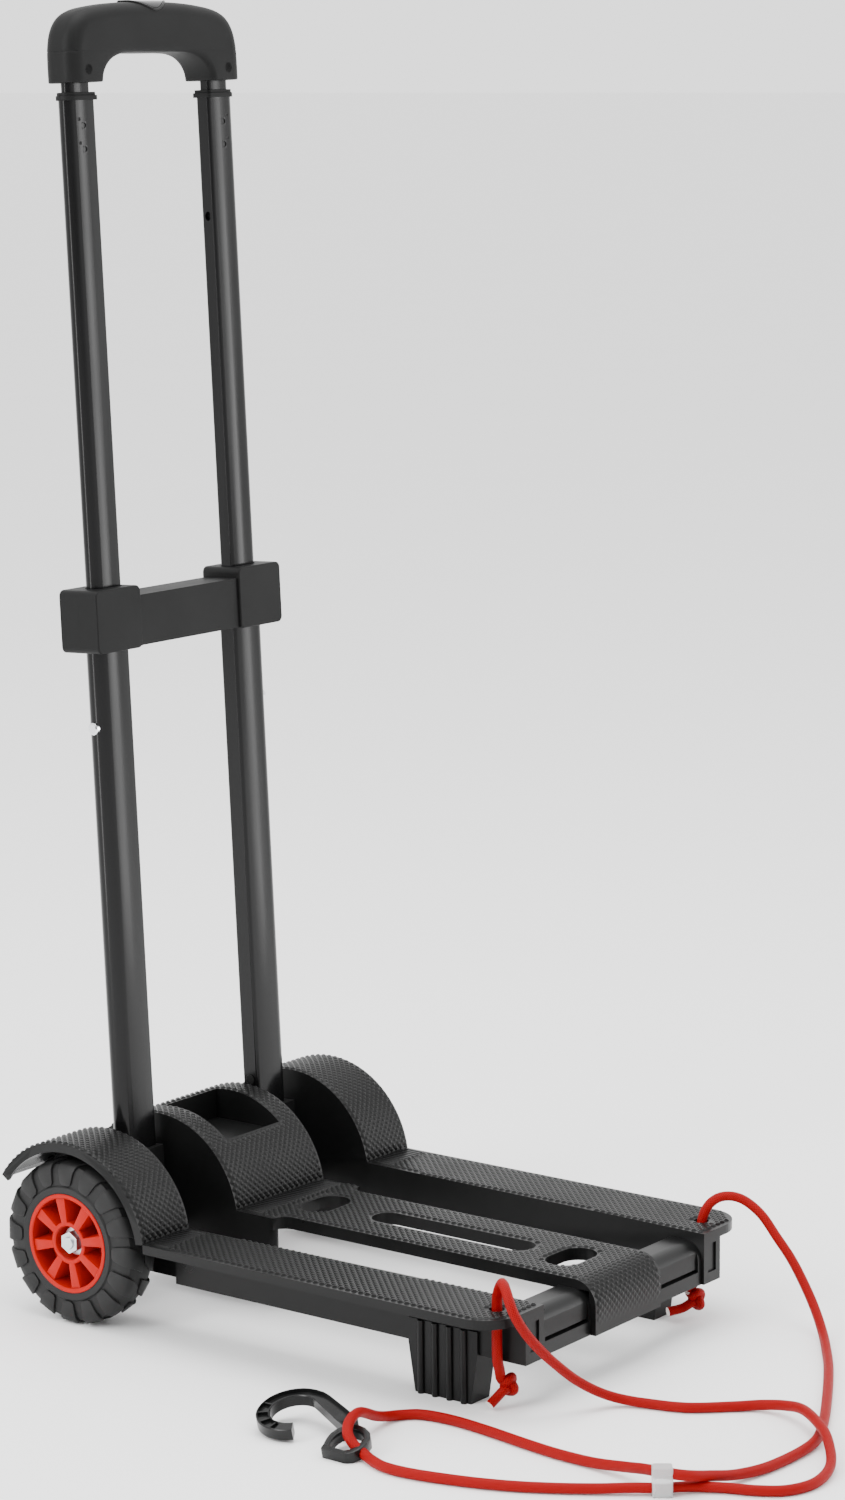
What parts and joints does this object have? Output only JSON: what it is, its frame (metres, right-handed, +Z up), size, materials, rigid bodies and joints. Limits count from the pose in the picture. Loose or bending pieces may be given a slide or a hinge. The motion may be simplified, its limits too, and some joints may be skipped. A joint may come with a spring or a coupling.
{
  "type": "hand truck",
  "caption": "Compact folding hand truck: plastic deck on red-hubbed wheels, telescopic twin-tube mast with grip, and an elastic cord with a hook.",
  "frame": {"origin": "centre of the object's footprint on the floor, without the loose cord", "axes": "+Z up, -Y to the deck's front, +Y to the mast, +X to the right-hand wheel; the mast is raised and leans back a little"},
  "size_m": [0.3784, 0.6093, 0.8521],
  "materials": {
    "black_plastic": "satin moulded black",
    "collar_plastic": "matte",
    "dark_plastic": "matte",
    "tube_black": "satin black powder coat",
    "steel": "zinc plated",
    "chrome": "polished",
    "button_gloss": "gloss",
    "hook_plastic": "semi gloss",
    "clear_clip": "clear",
    "red_cord": "braided",
    "red_hub": "satin",
    "tyre_rubber": "matte rubber",
    "nylon": "natural"
  },
  "bodies": {
    "base": {"side_rail_left": "black_plastic", "side_rail_right": "black_plastic", "centre_deck": "black_plastic", "front_bar": "black_plastic", "rear_bar": "steel", "foot_left": "black_plastic", "foot_right": "black_plastic", "axle": "steel", "axle_washers": "steel", "axle_nuts": "steel", "axle_spacers": "steel", "wrap_screws": "steel", "cord_knot_left": "red_cord", "cord_knot_right": "red_cord", "bungee_cord": "red_cord", "cord_hook": "hook_plastic", "cord_clip": "clear_clip"},
    "mast_lower": {"shoe_left": "black_plastic", "shoe_right": "black_plastic", "lower_tube_left": "tube_black", "lower_tube_right": "tube_black", "shoe_rivets": "dark_plastic", "bracket_front": "black_plastic", "bracket_rear": "black_plastic", "bracket_screws": "steel"},
    "latch_button_left": {"latch_button_left": "chrome"},
    "latch_button_right": {"latch_button_right": "chrome"},
    "mast_middle": {"middle_tube_left": "tube_black", "middle_tube_right": "tube_black", "collar_left": "collar_plastic", "collar_right": "collar_plastic", "middle_plugs": "dark_plastic", "latch_springs": "steel"},
    "grip": {"inner_tube_left": "tube_black", "inner_tube_right": "tube_black", "grip_front": "black_plastic", "grip_rear": "black_plastic", "grip_screws": "steel", "inner_plugs": "dark_plastic", "button_spring": "steel"},
    "release": {"release_button": "button_gloss", "release_yoke": "dark_plastic", "push_rods": "steel"},
    "lock_pin_left": {"lock_pin_left": "steel"},
    "lock_pin_right": {"lock_pin_right": "steel"},
    "wheel_left": {"tyre_left": "tyre_rubber", "hub_left": "red_hub", "hub_bush_left": "nylon"},
    "wheel_right": {"tyre_right": "tyre_rubber", "hub_right": "red_hub", "hub_bush_right": "nylon"}
  },
  "joints": [
    {"name": "mast_fold", "type": "hinge", "parent": "base", "child": "mast_lower", "pos_m": [0, 0.14573, 0.055], "axis": [1, 0, 0], "range_deg": [0, 90]},
    {"name": "middle_slide", "type": "slide", "parent": "mast_lower", "child": "mast_middle", "axis": [0, 0.0454, 0.999], "range_m": [-0.215, 0]},
    {"name": "grip_slide", "type": "slide", "parent": "mast_middle", "child": "grip", "axis": [0, 0.0454, 0.999], "range_m": [0, 0.13]},
    {"name": "button_press", "type": "slide", "parent": "grip", "child": "release", "axis": [0, -0.0454, -0.999], "range_m": [0, 0.004], "stiffness_N_per_m": 500, "springref_m": -0.004, "deforming": ["button_spring"]},
    {"name": "lock_pin_left", "type": "slide", "parent": "grip", "child": "lock_pin_left", "axis": [-1, 0, 0], "range_m": [0, 0.002]},
    {"name": "lock_pin_right", "type": "slide", "parent": "grip", "child": "lock_pin_right", "axis": [1, 0, 0], "range_m": [0, 0.002]},
    {"name": "latch_press_left", "type": "slide", "parent": "mast_lower", "child": "latch_button_left", "axis": [1, 0, 0], "range_m": [0, 0.003], "stiffness_N_per_m": 400, "springref_m": -0.002},
    {"name": "latch_press_right", "type": "slide", "parent": "mast_lower", "child": "latch_button_right", "axis": [-1, 0, 0], "range_m": [0, 0.003], "stiffness_N_per_m": 400, "springref_m": -0.002},
    {"name": "wheel_left_spin", "type": "hinge", "parent": "base", "child": "wheel_left", "pos_m": [-0.125, 0.14573, 0.055], "axis": [1, 0, 0], "continuous": true},
    {"name": "wheel_right_spin", "type": "hinge", "parent": "base", "child": "wheel_right", "pos_m": [0.125, 0.14573, 0.055], "axis": [1, 0, 0], "continuous": true}
  ],
  "couplings": [
    {"joint": "lock_pin_left", "follows": "button_press", "ratio": 0.5},
    {"joint": "lock_pin_right", "follows": "button_press", "ratio": 0.5}
  ]
}
